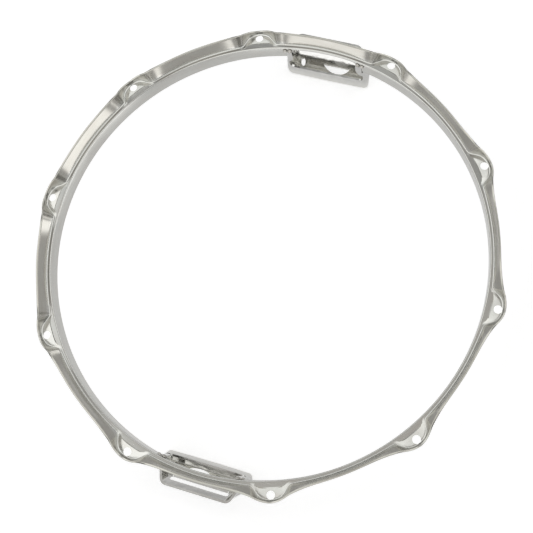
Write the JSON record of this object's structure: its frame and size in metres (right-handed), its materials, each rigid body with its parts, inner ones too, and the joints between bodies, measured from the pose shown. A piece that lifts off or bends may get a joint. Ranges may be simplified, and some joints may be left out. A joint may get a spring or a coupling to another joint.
{
  "type": "snare drum hoop",
  "caption": "Chromed pressed-steel snare-side drum hoop, triple flanged, with pressed rod ears, two gates and a welded snare guard over each gate.",
  "frame": {"origin": "on the hoop's axis, at the level of the guard crowns that the hoop stands on", "axes": "+Z along the hoop's axis toward the drum, +X through the middle of guard A's gate, so the two rod holes nearest guard A lie 18 degrees to each side of +X"},
  "size_m": [0.3964, 0.3938, 0.0539],
  "materials": {
    "ring_chrome": "bright chrome plate over pressed steel, faintly brushed and rippled",
    "guard_chrome": "bright chrome plate over a deep stamping",
    "weld_chrome": "plated weld bead, duller than the sheet"
  },
  "bodies": {
    "root": {"hoop_ring": "ring_chrome", "snare_guard_a": "guard_chrome", "snare_guard_b": "guard_chrome", "weld_a_left_1": "weld_chrome", "weld_a_left_2": "weld_chrome", "weld_a_right_1": "weld_chrome", "weld_a_right_2": "weld_chrome", "weld_b_left_1": "weld_chrome", "weld_b_left_2": "weld_chrome", "weld_b_right_1": "weld_chrome", "weld_b_right_2": "weld_chrome"}
  },
  "joints": []
}
